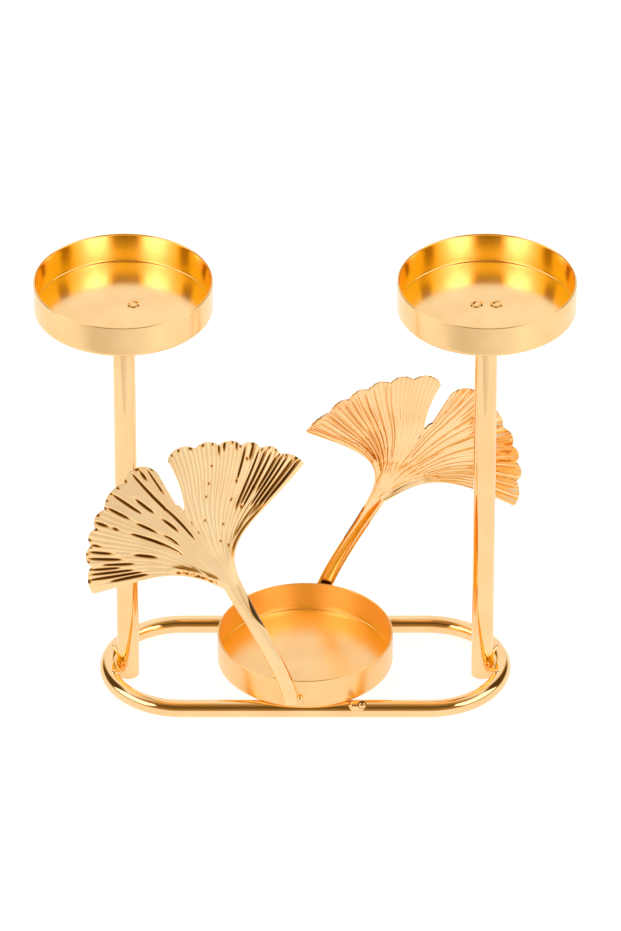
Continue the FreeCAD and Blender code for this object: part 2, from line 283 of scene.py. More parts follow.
class Board:
    """Node tree of one material or world."""

    def __init__(self, tree, keep=False):
        self.tree = tree
        if not keep:
            tree.nodes.clear()

    def add(self, kind, settings=None, sockets=None, output=0):
        """New node: its settings first, then the values or links of its sockets. Gives one of its outputs."""
        node = self.tree.nodes.new(kind)
        for name, value in (settings or {}).items():
            if name == "stops":
                self.set_stops(node.color_ramp, value)
            else:
                setattr(node, name, value)
        for name, value in (sockets or {}).items():
            if isinstance(value, Signal):
                self.tree.links.new(value.socket, node.inputs[name])
            else:
                node.inputs[name].default_value = value
        return Signal(self, node.outputs[output]) if node.outputs else None

    @staticmethod
    def set_stops(ramp, stops):
        """Grey stops of a ramp, from pairs of a place and a value."""
        while len(ramp.elements) < len(stops):
            ramp.elements.new(1.0)
        for element, (place, value) in zip(ramp.elements, stops):
            element.position = place
            element.color = (value, value, value, 1.0)

    def place(self):
        return self.add("ShaderNodeTexCoord", output="Object")

    def noise(self, place, scale, detail=2.0):
        return self.add("ShaderNodeTexNoise", None, {"Vector": place, "Scale": scale, "Detail": detail}, "Fac")

    def blend(self, factor, first, second):
        """Mix of two colours."""
        ends = [end if isinstance(end, Signal) else (*end, 1.0) for end in (first, second)]
        return self.add("ShaderNodeMix", {"data_type": "RGBA"}, {0: factor, 6: ends[0], 7: ends[1]}, 2)

    def ramp(self, value, whole, stops):
        """Grey ramp through pairs of a place, between 0 and the whole, and a value."""
        parts = [(place / whole, grey) for place, grey in stops]
        return self.add("ShaderNodeValToRGB", {"stops": parts}, {0: value / whole})

    def step(self, value, start, end):
        """0 below start, 1 above end and smooth between them."""
        limits = {"Value": value, "From Min": start, "From Max": end}
        return self.add("ShaderNodeMapRange", {"interpolation_type": "SMOOTHSTEP"}, limits)


def new_board(name):
    material = bpy.data.materials.new(name)
    material.use_nodes = True
    return material, Board(material.node_tree)


def plated(name, tone, roughness, cloud, grain, grain_height, wear, painted_shade_tones=None):
    """Gold plate: cloudy tone and polish, fine grain in its surface, rubbed streaks and any painted shade that the
    piece's mesh carries.
    """
    material, board = new_board(name)
    place = board.place()
    clouds = board.noise(place, cloud, 3.0)
    streaks = board.noise(place, cloud * 9.0, 5.0)
    deep = [value * (1.0 - 0.05 * (part + 1)) for part, value in enumerate(tone)]
    base = board.blend(board.step(clouds, 0.3, 0.7), deep, tone)
    # Painted shade from the mesh's attribute: the base goes towards orange, then towards brown
    if painted_shade_tones is not None:
        groove = board.add("ShaderNodeAttribute", {"attribute_name": PAINTED_SHADE}, None, "Fac")
        base = board.blend(board.step(groove, 0.0, 0.5), base, painted_shade_tones[0])
        base = board.blend(board.step(groove, 0.5, 1.0), base, painted_shade_tones[1])
    rough = roughness + wear * (clouds - 0.5) + wear * board.step(streaks, 0.55, 0.8)
    grains = board.noise(place, grain, 2.0)
    relief = board.add(
        "ShaderNodeBump", None, {"Strength": 0.35, "Distance": grain_height, "Height": grains}, "Normal")
    shader = board.add("ShaderNodeBsdfPrincipled", None, {
        "Base Color": base, "Metallic": 1.0, "Roughness": rough, "Normal": relief})
    board.add("ShaderNodeOutputMaterial", None, {"Surface": shader})
    return material


def cup_metal(name, tone, painted_bounce_tone, roughness, polish, sizes):
    """Satin plate of a cup, with a deeper tone painted inside its wall for the light bounced between the gold walls."""
    material = plated(name, tone, roughness, 60.0, 4200.0, 1.5e-6, 0.05)
    board = Board(material.node_tree, keep=True)
    place = board.place()
    low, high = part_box("centre_cup")
    inside = (high.x - low.x) / 2 - sizes.sheet / 2
    level = board.add("ShaderNodeVectorMath", {"operation": "MULTIPLY"}, {0: place, 1: (1.0, 1.0, 0.0)})
    reach = board.add("ShaderNodeVectorMath", {"operation": "LENGTH"}, {0: level}, "Value")
    height = board.add("ShaderNodeSeparateXYZ", None, {0: place}, "Z")
    mask = (1.0 - board.step(reach, inside - 0.1 * MM, inside + 0.1 * MM))
    mask = mask * board.step(height, sizes.sheet + sizes.crown, sizes.sheet + sizes.crown + 1.5 * MM)
    shader = next(node for node in material.node_tree.nodes if node.type == "BSDF_PRINCIPLED")
    base = Signal(board, shader.inputs["Base Color"].links[0].from_socket)
    # Painted bounce light inside the wall; the finer polish there is the plating's own
    deep = board.blend(mask, base, painted_bounce_tone)
    rough = Signal(board, shader.inputs["Roughness"].links[0].from_socket)
    rough = rough * (1.0 - mask * (1.0 - polish))
    material.node_tree.links.new(deep.socket, shader.inputs["Base Color"])
    material.node_tree.links.new(rough.socket, shader.inputs["Roughness"])
    return material


def grid_faces(rows, columns, loop_rows, loop_columns, first):
    """Quads of a grid whose vertices are numbered row by row from first."""
    row = np.arange(rows if loop_rows else rows - 1)
    column = np.arange(columns if loop_columns else columns - 1)
    row, column = np.meshgrid(row, column, indexing="ij")
    below = (row + 1) % rows
    beside = (column + 1) % columns
    corners = (row * columns + column, row * columns + beside, below * columns + beside, below * columns + column)
    return first + np.stack([corner.ravel() for corner in corners], axis=1)


class Shell:
    """Grid of points that is one part of a piece's skin, with the painted shade at each point."""

    def __init__(self, points, loop_rows=False, loop_columns=False, capped=False, groove=None):
        self.points = np.asarray(points, dtype=float)
        self.groove = np.zeros(self.points.shape[:2]) if groove is None else groove
        self.loop_rows = loop_rows
        self.loop_columns = loop_columns
        self.capped = capped


def make_piece(name, shells, material, sharp=40.0, origin=(0.0, 0.0, 0.0)):
    """Object from the shells' points about its origin, which stands for the frame's node of the same name."""
    points = []
    faces = []
    first = 0
    for shell in shells:
        rows, columns, _ = shell.points.shape
        points.append(shell.points.reshape(-1, 3) - np.array(origin))
        faces += grid_faces(rows, columns, shell.loop_rows, shell.loop_columns, first).tolist()
        if shell.capped:
            faces.append(list(range(first, first + columns)))
            faces.append(list(range(first + (rows - 1) * columns, first + rows * columns)))
        first += rows * columns
    mesh = bpy.data.meshes.new(name)
    mesh.from_pydata(np.concatenate(points).tolist(), [], faces)
    # Painted shade at each vertex, which the material reads as an attribute
    grooves = np.concatenate([shell.groove.ravel() for shell in shells])
    if grooves.any():
        mesh.attributes.new(PAINTED_SHADE, "FLOAT", "POINT").data.foreach_set("value", grooves)
    skin = bmesh.new()
    skin.from_mesh(mesh)
    bmesh.ops.remove_doubles(skin, verts=skin.verts, dist=0.001 * MM)
    bmesh.ops.dissolve_degenerate(skin, edges=skin.edges, dist=0.0005 * MM)
    bmesh.ops.recalc_face_normals(skin, faces=skin.faces)
    skin.to_mesh(mesh)
    skin.free()
    mesh.shade_smooth()
    mesh.set_sharp_from_angle(angle=math.radians(sharp))
    mesh.materials.append(material)
    piece = bpy.data.objects.new(name, mesh)
    piece.location = origin
    bpy.context.scene.collection.objects.link(piece)
    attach(piece, BODY)
    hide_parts(name)
    return piece


def unit(vector):
    return np.asarray(vector) / np.linalg.norm(vector)


def smooth(value, start, end):
    """0 before start, 1 after end and smooth between them."""
    part = np.clip((value - start) / (end - start), 0.0, 1.0)
    return part * part * (3.0 - 2.0 * part)


def bezier(poles, shares):
    """Points of a Bezier curve at the given shares of its parameter."""
    points = [np.outer(np.ones_like(shares), pole) for pole in poles]
    while len(points) > 1:
        points = [first + (last - first) * shares[:, None] for first, last in zip(points, points[1:])]
    return points[0]


def even(points, shares):
    """Points at the given shares of a polyline's length."""
    steps = np.linalg.norm(np.diff(points, axis=0), axis=1)
    reach = np.concatenate([[0.0], np.cumsum(steps)])
    wanted = np.asarray(shares) * reach[-1]
    return np.stack([np.interp(wanted, reach, points[:, axis]) for axis in range(points.shape[1])], axis=1)


def arc(first, middle, last, count):
    """Points of the circular arc through three points of a plane."""
    a, b, c = (np.asarray(point, dtype=float) for point in (first, middle, last))
    lines = np.array((b - a, c - a))
    centre = a + np.linalg.solve(2 * lines, (lines ** 2).sum(axis=1))
    angles = [math.atan2(*(point - centre)[::-1]) for point in (a, b, c)]
    whole = 2 * math.pi
    sweep = (angles[2] - angles[0]) % whole
    if (angles[1] - angles[0]) % whole > sweep:
        sweep -= whole
    angle = angles[0] + np.linspace(0.0, sweep, count)
    return centre + np.linalg.norm(a - centre) * np.stack([np.cos(angle), np.sin(angle)], axis=1)


def ripple(points, size, seed):
    """Smooth noise between -1 and 1 at each point, with features of the given size."""
    shift = Vector((seed * 7.31, seed * 3.17, seed * 5.73))
    flat = np.asarray(points).reshape(-1, 3) / size
    values = [noise.noise(Vector(point) + shift) for point in flat]
    return np.array(values).reshape(np.asarray(points).shape[:-1])


def lathe(profile, centre, segments, wobble=None):
    """Points of a profile of (radius, height) turned about an upright axis."""
    angle = np.linspace(0.0, 2 * math.pi, segments, endpoint=False)
    radius, height = np.asarray(profile, dtype=float).T
    radius = radius[:, None] * np.ones_like(angle)
    height = height[:, None] * np.ones_like(angle)
    if wobble is not None:
        radius, height = wobble(radius, height, angle[None, :])
    x = centre[0] + radius * np.cos(angle)
    y = centre[1] + radius * np.sin(angle)
    return np.stack([x, y, height], axis=-1)


def corner_arc(centre, radius, start, end, count=7):
    """Points (radius, height) of a rounded corner, between two angles in degrees."""
    angle = np.radians(np.linspace(start, end, count))
    return [(centre[0] + radius * math.cos(a), centre[1] + radius * math.sin(a)) for a in angle]


class RingSizes:
    """Sizes of the base ring, read from the frame."""

    def __init__(self):
        low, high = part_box("base_ring")
        self.rod = (high.z - low.z) / 2
        self.bend = (high.y - low.y) / 2 - self.rod
        self.straight = (high.x - low.x) / 2 - self.bend - self.rod
        weld_low, weld_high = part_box("ring_butt_weld")
        self.weld = (weld_high.x - weld_low.x) / 2


def rod_along(path, radius, sides=40):
    """Skin of a round rod round a level path of points."""
    path = np.asarray(path)
    heading = np.gradient(path, axis=0)
    heading /= np.linalg.norm(heading, axis=1, keepdims=True)
    side = np.cross(heading, UP)
    angle = np.linspace(0.0, 2 * math.pi, sides, endpoint=False)
    across = side[:, None, :] * np.cos(angle)[None, :, None]
    upward = UP[None, None, :] * np.sin(angle)[None, :, None]
    radius = np.broadcast_to(np.asarray(radius, dtype=float), len(path))
    return path[:, None, :] + (across + upward) * radius[:, None, None]


class HOLDER_OT_ring(bpy.types.Operator):
    """Base ring: one round rod bent to a long oval, and its ground butt weld"""

    bl_idname = "holder.ring"
    bl_label = "Base Ring"

    def execute(self, context):
        finishes = context.scene.holder_finishes
        rod_gold = plated("rod_gold", finishes.bright_gold, finishes.bright_roughness, 45.0, 2600.0, 2e-6, 0.03)
        weld_gold = plated("ground_weld_gold", finishes.bead_gold, finishes.bead_roughness, 160.0, 3200.0, 2e-5, 0.08)
        ring = RingSizes()
        quarter = np.linspace(math.pi / 2, -math.pi / 2, 97)
        right = np.stack([ring.straight + ring.bend * np.cos(quarter), ring.bend * np.sin(quarter)], axis=1)
        left = -right
        back_right = np.stack([np.linspace(ring.weld, ring.straight, 40), np.full(40, ring.bend)], axis=1)
        front = np.stack([np.linspace(ring.straight, -ring.straight, 90), np.full(90, -ring.bend)], axis=1)
        back_left = np.stack([np.linspace(-ring.straight, -ring.weld, 40), np.full(40, ring.bend)], axis=1)
        plan = np.concatenate([back_right[:-1], right, front[1:-1], left, back_left[1:]])
        path = np.column_stack([plan, np.full(len(plan), ring.rod)])
        drawn = ring.rod * (1.0 + 0.004 * ripple(path, 18 * MM, 1))
        make_piece("base_ring", [Shell(rod_along(path, drawn), loop_columns=True, capped=True)], rod_gold)
        across = np.linspace(ring.weld, -ring.weld, 13)
        band = np.column_stack([across, np.full(13, ring.bend), np.full(13, ring.rod)])
        crown = ring.rod * (1.0 + 0.012 * np.cos(across / ring.weld * math.pi / 2) + 0.004 * ripple(band, MM, 2))
        make_piece("ring_butt_weld", [Shell(rod_along(band, crown), loop_columns=True, capped=True)], weld_gold)
        return {"FINISHED"}


class HOLDER_OT_posts(bpy.types.Operator):
    """Posts: two upright tubes that carry the upper cups"""

    bl_idname = "holder.posts"
    bl_label = "Posts"

    def execute(self, context):
        finishes = context.scene.holder_finishes
        wall = context.scene.holder_cups.post_wall
        tube_gold = plated("tube_gold", finishes.bright_gold, finishes.bright_roughness, 38.0, 2600.0, 2e-6, 0.03)
        edge = 0.2 * MM
        for hand in HANDS:
            low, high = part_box(hand + "_post")
            centre = (low + high) / 2
            radius = (high.x - low.x) / 2
            rise = np.linspace(low.z + edge, high.z - edge, 60)
            outer = [(radius, height) for height in rise]
            bore = [(radius - wall, height) for height in rise[::-1]]
            profile = [(radius - edge, low.z), *outer, (radius - edge, high.z), (radius - wall + edge, high.z)]
            profile += [*bore, (radius - wall + edge, low.z)]
            skin = Shell(lathe(profile, centre, 72), loop_rows=True, loop_columns=True)
            make_piece(hand + "_post", [skin], tube_gold)
        return {"FINISHED"}


def cup_profile(radius, low, high, sizes):
    """Section of a pressed cup from the middle of its underside over the rim to the middle of its floor."""
    sheet = sizes.sheet
    corner = sizes.corner
    rim = sheet / 2
    inner_corner = sizes.inner_corner
    reach = 1.0 - np.linspace(1.0, 0.0, 40) ** 1.5
    under = [(r * (radius - corner), low) for r in reach[:-1]]
    outside = corner_arc((radius - corner, low + corner), corner, -90, 0)
    wall = [(radius, height) for height in np.linspace(low + corner, high - rim, 12)[1:-1]]
    lip = corner_arc((radius - rim, high - rim), rim, 0, 180, 9)
    floor = low + sheet
    inside = [(radius - sheet, height) for height in np.linspace(high - rim, floor + inner_corner, 12)[1:-1]]
    bend = corner_arc((radius - sheet - inner_corner, floor + inner_corner), inner_corner, 0, -90)
    run = radius - sheet - inner_corner
    tray = [(r * run, floor + sizes.crown * (1.0 - r ** sizes.crown_power)) for r in reach[::-1][1:]]
    return [*under, *outside, *wall, *lip, *inside, *bend, *tray]


class HOLDER_OT_cups(bpy.types.Operator):
    """Cups: three round trays pressed from sheet"""

    bl_idname = "holder.cups"
    bl_label = "Cups"

    def execute(self, context):
        finishes = context.scene.holder_finishes
        sizes = context.scene.holder_cups
        upper_gold = cup_metal("upper_cup_gold", finishes.cup_gold, finishes.painted_bounce_gold,
                               finishes.upper_cup_roughness, finishes.wall_polish, sizes)
        # The low cup: darker plating as painted shade, and its own painted bounce tone inside the wall
        centre_gold = cup_metal("centre_cup_gold", finishes.low_painted_shade_gold, finishes.low_painted_bounce_gold,
                                finishes.centre_cup_roughness, 1.6, sizes)
        for name, metal in (("left_cup", upper_gold), ("right_cup", upper_gold), ("centre_cup", centre_gold)):
            low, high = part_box(name)
            middle = (low + high) / 2
            profile = cup_profile((high.x - low.x) / 2, low.z, high.z, sizes)
            skin = Shell(lathe(profile, middle, 192), loop_columns=True)
            make_piece(name, [skin], metal, origin=(middle.x, middle.y, low.z))
        return {"FINISHED"}


class LeafFrame:
    """Place and axes of the front leaf."""

    def __init__(self, leaf):
        low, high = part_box("centre_cup")
        reach = (high.x - low.x) / 2 + leaf.foot_gap
        self.wall = np.array((-math.sin(leaf.foot_angle), -math.cos(leaf.foot_angle), 0.0))
        self.foot = self.wall * reach + UP * leaf.foot_height
        self.base = self.foot + np.array(leaf.stem_reach)
        level = math.cos(leaf.lean)
        self.outward = np.array(
            (math.sin(leaf.turn) * level, -math.cos(leaf.turn) * level, math.sin(leaf.lean)))
        upright = unit(UP - self.outward * self.outward[2])
        self.along = upright * math.cos(leaf.slant) + np.cross(upright, self.outward) * math.sin(leaf.slant)
        self.across = np.cross(self.along, self.outward)
        drop = self.foot - self.base
        self.down = unit(drop - self.outward * drop.dot(self.outward))

    def neck(self, leaf, side):
        """Corner of the blade where it runs into the stem, in the blade's plane."""
        flat = unit((self.down.dot(self.across), self.down.dot(self.along)))
        return np.array((-flat[1], flat[0])) * (side * leaf.neck_width / 2)


def polar(reach, angle):
    """Point of the blade's plane at a reach from its base, at an angle from its middle line."""
    return np.array((reach * math.sin(angle), reach * math.cos(angle)))


def margin(leaf, valleys, corner_reach, margin_reach, tip_reach):
    """Scalloped margin of a lobe from its corner at the notch to its tip."""
    fall = margin_reach - tip_reach - leaf.tip_drop

    def crest(angle, drop):
        part = (angle - valleys[0]) / (valleys[-1] - valleys[0])
        return polar(margin_reach - fall * part ** leaf.margin_power - drop, angle)

    ends = [polar(corner_reach, valleys[0])]
    ends += [crest(angle, leaf.scallop_depth) for angle in valleys[1:-1]]
    ends.append(crest(valleys[-1], leaf.tip_drop))
    rows = []
    for number, (first, last) in enumerate(zip(ends, ends[1:])):
        middle = (valleys[number] + valleys[number + 1]) / 2
        rows.append(arc(first, crest(middle, 0.0), last, 40)[:-1])
    return np.concatenate([*rows, ends[-1][None, :]])


# Stamped dashes on the lobes: place across the lobe from middle to edge, start and end between neck and margin
OUTER_DASHES = (
    (0.12, 0.74, 0.98), (0.16, 0.88, 0.98), (0.20, 0.36, 0.98), (0.30, 0.66, 0.84), (0.30, 0.46, 0.58),
    (0.36, 0.72, 0.98), (0.45, 0.57, 0.72), (0.44, 0.41, 0.51), (0.44, 0.79, 0.97), (0.55, 0.37, 0.71),
    (0.55, 0.81, 0.86), (0.55, 0.89, 0.99), (0.70, 0.93, 0.99), (0.75, 0.51, 0.66), (0.75, 0.82, 0.98),
    (0.79, 0.75, 0.98), (0.83, 0.68, 0.90), (0.86, 0.78, 0.99), (0.89, 0.68, 0.98), (0.92, 0.62, 0.98),
    (0.95, 0.58, 0.84),
)
INNER_DASHES = (
    (0.36, 0.93, 1.02), (0.40, 0.94, 1.02), (0.48, 0.95, 1.02), (0.55, 0.75, 0.98), (0.60, 0.88, 1.02),
    (0.65, 0.55, 0.97), (0.70, 0.57, 0.97), (0.745, 0.56, 0.96), (0.79, 0.70, 0.96), (0.83, 0.60, 0.98),
    (0.87, 0.58, 0.98), (0.91, 0.60, 0.98), (0.95, 0.62, 0.98),
)
DASH_END = 0.04
SPECKS = 17
CRINKLES = 15
# Round pits on the inner lobe, in the same shares
PITS = (
    (0.30, 0.84), (0.28, 0.72), (0.26, 0.63), (0.21, 0.48), (0.04, 0.42), (0.01, 0.51), (0.58, 0.89),
    (0.56, 0.60), (0.50, 0.42), (0.69, 0.28), (0.43, 0.30), (0.55, 0.74), (0.74, 0.70), (0.72, 0.55),
)
VEINS_FADE = 0.9
VEINS_FULL = 1.5
LEAF_COLUMNS = 260
LEAF_ROWS_BELOW_NOTCH = 66
LEAF_ROWS_BESIDE_NOTCH = 48
NOTCH_SHARE = 0.6
COLUMNS_EASE = 0.25


def even_out(values, reach=24):
    """Row of values without its kinks, averaged over a few neighbours."""
    weights = np.hanning(2 * reach + 3)[1:-1]
    padded = np.pad(values, reach, mode="reflect", reflect_type="odd")
    return np.convolve(padded, weights / weights.sum(), mode="valid")


class Lobe:
    """Half of the blade as a grid: rows from the neck to the margin, columns from the middle to the edge."""

    def __init__(self, leaf, place, side):
        self.side = side
        inner = side > 0
        names = "inner" if inner else "outer"
        valleys = getattr(leaf, names + "_valleys")
        reaches = [getattr(leaf, names + part) for part in ("_corner_reach", "_margin_reach", "_tip_reach")]
        crest = margin(leaf, valleys, *reaches)
        tip = polar(leaf.notch_reach, leaf.notch_angle)
        centre = polar(leaf.notch_reach + leaf.notch_tip_radius, leaf.notch_angle)
        cross = polar(leaf.notch_tip_radius, leaf.notch_angle + math.pi / 2)
        shoulder = centre + side * cross
        between = centre + unit(shoulder + tip - 2 * centre) * leaf.notch_tip_radius
        notch_poles = [shoulder, np.array(leaf.notch_pull), crest[0]] if inner else [shoulder, crest[0]]
        notch = np.concatenate([
            arc(tip, between, shoulder, 12)[:-1], bezier(notch_poles, np.linspace(0.0, 1.0, 40))])
        below = np.linspace(0.0, NOTCH_SHARE, LEAF_ROWS_BELOW_NOTCH)
        beside = np.linspace(NOTCH_SHARE, 1.0, LEAF_ROWS_BESIDE_NOTCH)
        self.rise = np.concatenate([below, beside[1:]])[:, None]
        middle = np.linspace(0.0, 1.0, LEAF_ROWS_BELOW_NOTCH)[:, None] * tip[None, :]
        inside = np.concatenate([middle, even(notch, np.linspace(0.0, 1.0, LEAF_ROWS_BESIDE_NOTCH))[1:]])
        pulls = [np.array(getattr(leaf, names + part)) for part in ("_pull_neck", "_pull_tip")]
        edge = bezier([place.neck(leaf, side), *pulls, crest[-1]], np.linspace(0.0, 1.0, 200))
        edge = even(edge, self.rise[:, 0])
        width = np.linalg.norm(edge - inside, axis=1)[:, None]
        self.width = even_out(width[:, 0])[:, None]
        column = np.linspace(0.0, 1.0, LEAF_COLUMNS)[None, :]
        part = column - (1.0 - column) * (self.width / width - 1.0) * smooth(column, 0.0, COLUMNS_EASE)
        self.place = 1.0 - (1.0 - part) * width / self.width
        top = even(crest, column[0])
        chord = crest[0] + (crest[-1] - crest[0]) * column[0][:, None]
        bulge = (top - chord)[None, :, :] * self.rise[:, :, None] ** 1.15
        ruled = inside[:, None, :] + (edge - inside)[:, None, :] * part[:, :, None]
        self.flat = ruled + bulge
        self.veins = leaf.inner_veins if inner else leaf.outer_veins
        self.slope = leaf.inner_slope if inner else leaf.outer_slope

    def dashes(self, leaf, whole=False):
        """Depth of the stamped dashes as a share of a full one, at their own length or along the whole blade."""
        depth = np.zeros_like(self.place)
        for place, start, end in INNER_DASHES if self.side > 0 else OUTER_DASHES:
            if whole:
                start, end = 0.3, 0.99
            part = np.clip((self.rise - start) / (end - start), 0.0, 1.0)
            width = leaf.dash_width * (0.6 + 1.6 * part * (1.0 - part)) * (1.25 if self.side > 0 else 1.0)
            run = smooth(self.rise, start - DASH_END, start + DASH_END)
            run = run * (1.0 - smooth(self.rise, end - DASH_END, end + DASH_END))
            depth = np.maximum(depth, np.exp(-((self.place - place) * self.width / width) ** 2) * run)
        return depth

    def pits(self, leaf):
        """Depth of the round pits as a share of a full one."""
        depth = np.zeros_like(self.place)
        for place, start in PITS if self.side > 0 else ():
            row = np.abs(self.rise[:, 0] - start).argmin()
            column = np.abs(self.place[row] - place).argmin()
            away = np.linalg.norm(self.flat - self.flat[row, column], axis=-1)
            depth = np.maximum(depth, np.exp(-(away / leaf.pit_radius) ** 2))
        return depth

    def roll(self, leaf, inset, width):
        """Band beside the blade's edge, near the neck."""
        away = (1.0 - self.place) * self.width
        start, end = ((0.1, 0.3), (0.5, 0.8)) if self.side > 0 else ((0.03, 0.12), (0.34, 0.44))
        run = smooth(self.rise, *start) * (1.0 - smooth(self.rise, *end))
        return np.exp(-((away - inset) / width) ** 2) * run

    def painted_margin_specks(self):
        """Painted shade dots along the margin: 1 in a dot and 0 between them."""
        place = self.place[-1]
        wave = np.cos(2 * math.pi * (SPECKS * place + 0.4 * np.sin(2 * math.pi * 2.6 * place)))
        return smooth(wave, 0.5, 0.9)

    def outer_painted_shade(self, leaf):
        """Painted shade on the outer face: in its stamped dashes and pits, in a band beside the edge near the neck,
        blotchy on the outer lobe, and in dots along the margin.
        """
        dark = np.clip(2.2 * np.maximum(self.dashes(leaf), self.pits(leaf)) - 0.5, 0.0, 1.0)
        band = self.roll(leaf, leaf.roll_inset * 0.55, leaf.roll_width * 0.8)
        # Painted shade: noise that breaks the band into blotches on the outer lobe; the mesh has no such crumpling
        painted_crumple_shade = 0.75 + 1.1 * ripple(np.dstack([self.flat, 0.0 * self.place]), 1.3 * MM, 8)
        band = band * (1.0 if self.side > 0 else np.clip(painted_crumple_shade, 0.0, 1.2))
        dark = np.maximum(dark, np.clip(1.5 * band - 0.4, 0.0, 1.0))
        return np.maximum(dark, self.painted_margin_specks() * smooth(self.rise, 0.97, 0.99))

    def inner_painted_shade(self, leaf):
        """Painted shade on the inner face: thin orange lines that run along the dashes' places, from low on the blade
        up to the margin.
        """
        return 0.42 * np.clip(2.0 * self.dashes(leaf, whole=True) - 1.0, 0.0, 1.0)

    def relief(self, leaf, dashes):
        """Height of the stamped veins, the rib above the stem and the rolled edge over the sheet."""
        part, rise = self.place, self.rise
        veins = np.zeros_like(part)
        left = smooth(1.0 - part, 0.0, 0.02)
        for forks in (1, 2, 4):
            count = self.veins / forks
            spacing = self.width / count
            fade = left * smooth(spacing, VEINS_FADE * MM, VEINS_FULL * MM)
            ridge = (0.5 + 0.5 * np.cos(2 * math.pi * part * count)) ** 2
            veins = veins + 2.0 * self.slope * spacing * ridge * fade
            left = left - fade
        edge = leaf.roll_height * self.roll(leaf, leaf.roll_inset, leaf.roll_width)
        neck = 1.0 - smooth(rise, 0.0, 0.3)
        crown = leaf.neck_crown * np.sqrt(np.clip(1.0 - part * part, 0.0, 1.0)) - leaf.sheet + leaf.stem_cover
        return veins - dashes + edge + neck * crown

    def faces(self, leaf, place):
        """Points of the outer and the inner face; the dashes and pits are shallow on the inner one."""
        across, along = self.flat[..., 0], self.flat[..., 1]
        radius = leaf.bend_radius
        sine = across / radius
        cosine = np.sqrt(1.0 - sine ** 2)
        normal = sine[..., None] * place.across + cosine[..., None] * place.outward
        sheet = place.base + across[..., None] * place.across + along[..., None] * place.along
        sheet = sheet - (radius * (1.0 - cosine))[..., None] * place.outward
        stamped = leaf.dash_depth * self.dashes(leaf) + leaf.pit_depth * self.pits(leaf)
        outer = sheet + normal * self.relief(leaf, stamped)[..., None]
        crinkle = np.sin(2 * math.pi * self.place * CRINKLES) * smooth(self.rise, 0.7, 0.95)
        crinkle = leaf.crinkle_height * crinkle * (0.0 if self.side > 0 else smooth(self.place, 0.2, 0.4))
        inner = sheet + normal * (self.relief(leaf, 0.3 * stamped) + crinkle - leaf.sheet)[..., None]
        return outer, inner


def rolled_edge(outer, inner, steps=4):
    """Rounded strip between the two faces along one edge."""
    middle = (outer + inner) / 2
    half = (outer - inner) / 2
    heading = np.gradient(middle, axis=0)
    away = np.cross(heading, half)
    away /= np.maximum(np.linalg.norm(away, axis=1, keepdims=True), 1e-12)
    angle = np.linspace(0.0, math.pi, steps + 1)
    swell = 0.3 * np.linalg.norm(half, axis=1, keepdims=True)
    return np.stack([middle + half * math.cos(a) + away * swell * math.sin(a) for a in angle])


def blade_shells(leaf, place):
    """Both faces and the edges of the blade."""
    shells = []
    notch_row = LEAF_ROWS_BELOW_NOTCH - 1
    for side in (1, -1):
        lobe = Lobe(leaf, place, side)
        outer, inner = lobe.faces(leaf, place)
        shells.append(Shell(outer, groove=lobe.outer_painted_shade(leaf)))
        shells.append(Shell(inner, groove=lobe.inner_painted_shade(leaf)))
        # The margin's strip carries the painted shade dots, fading across it from the outer face
        rim = [
            (outer[:, -1], inner[:, -1], -side, 0.0),
            (outer[-1], inner[-1], side, lobe.painted_margin_specks()),
            (outer[notch_row:, 0], inner[notch_row:, 0], side, 0.0),
            (outer[0], inner[0], -side, 0.0),
        ]
        for upper, lower, hand, painted_margin_specks in rim:
            flip = slice(None, None, hand)
            strip = rolled_edge(upper[flip], lower[flip])
            tone = np.broadcast_to(painted_margin_specks, len(upper))[flip]
            fade = np.linspace(1.0, -0.6, len(strip)).clip(0.0)
            shells.append(Shell(strip, groove=np.outer(fade, tone)))
    return shells


def stem_shell(leaf, place, rows=120, columns=49):
    """Half-round channel from the neck to the foot: crown outside, trough inside, and a painted shade line down one
    side of the crown.
    """
    start = place.base - place.outward * (leaf.sheet - leaf.stem_cover)
    poles = [start, start + place.down * leaf.neck_pull, place.foot + np.array(leaf.foot_pull), place.foot]
    part = np.linspace(0.0, 1.0, rows)
    path = bezier(poles, part)
    heading = np.gradient(path, axis=0)
    heading /= np.linalg.norm(heading, axis=1, keepdims=True)
    facing = place.outward * (1.0 - part[:, None]) + place.wall * part[:, None]
    facing -= heading * (facing * heading).sum(axis=1, keepdims=True)
    facing /= np.linalg.norm(facing, axis=1, keepdims=True)
    side = np.cross(heading, facing)
    stations = (0.0, leaf.slim_from, leaf.slim_to, 1.0)
    width = np.interp(part, stations, (leaf.neck_width, leaf.stem_width, leaf.stem_width, leaf.foot_width))
    crown = np.interp(part, stations, (leaf.neck_crown, leaf.stem_crown, leaf.stem_crown, leaf.foot_crown))
    angle = np.linspace(0.0, math.pi, columns)

    def bow(half, height):
        flat = side[:, None, :] * (half[:, None] * np.cos(angle))[..., None]
        return path[:, None, :] + flat + facing[:, None, :] * (height[:, None] * np.sin(angle))[..., None]

    outside = bow(width / 2, crown)
    inside = bow(width / 2 - leaf.sheet * 0.8, crown * leaf.trough)[:, ::-1]
    # Painted shade: a dark line down one side of the crown, over the upper part of the stem
    painted_crease_run = np.sin(math.pi * np.clip((part - 0.1) / 0.33, 0.0, 1.0))[:, None]
    painted_crease_shade = smooth(angle[None, :] - math.pi + 1.05 * painted_crease_run, -0.08, 0.08) * smooth(painted_crease_run, 0.0, 0.1)
    groove = np.concatenate([painted_crease_shade, 0.0 * painted_crease_shade], axis=1)
    return Shell(np.concatenate([outside, inside], axis=1), loop_columns=True, capped=True, groove=groove)


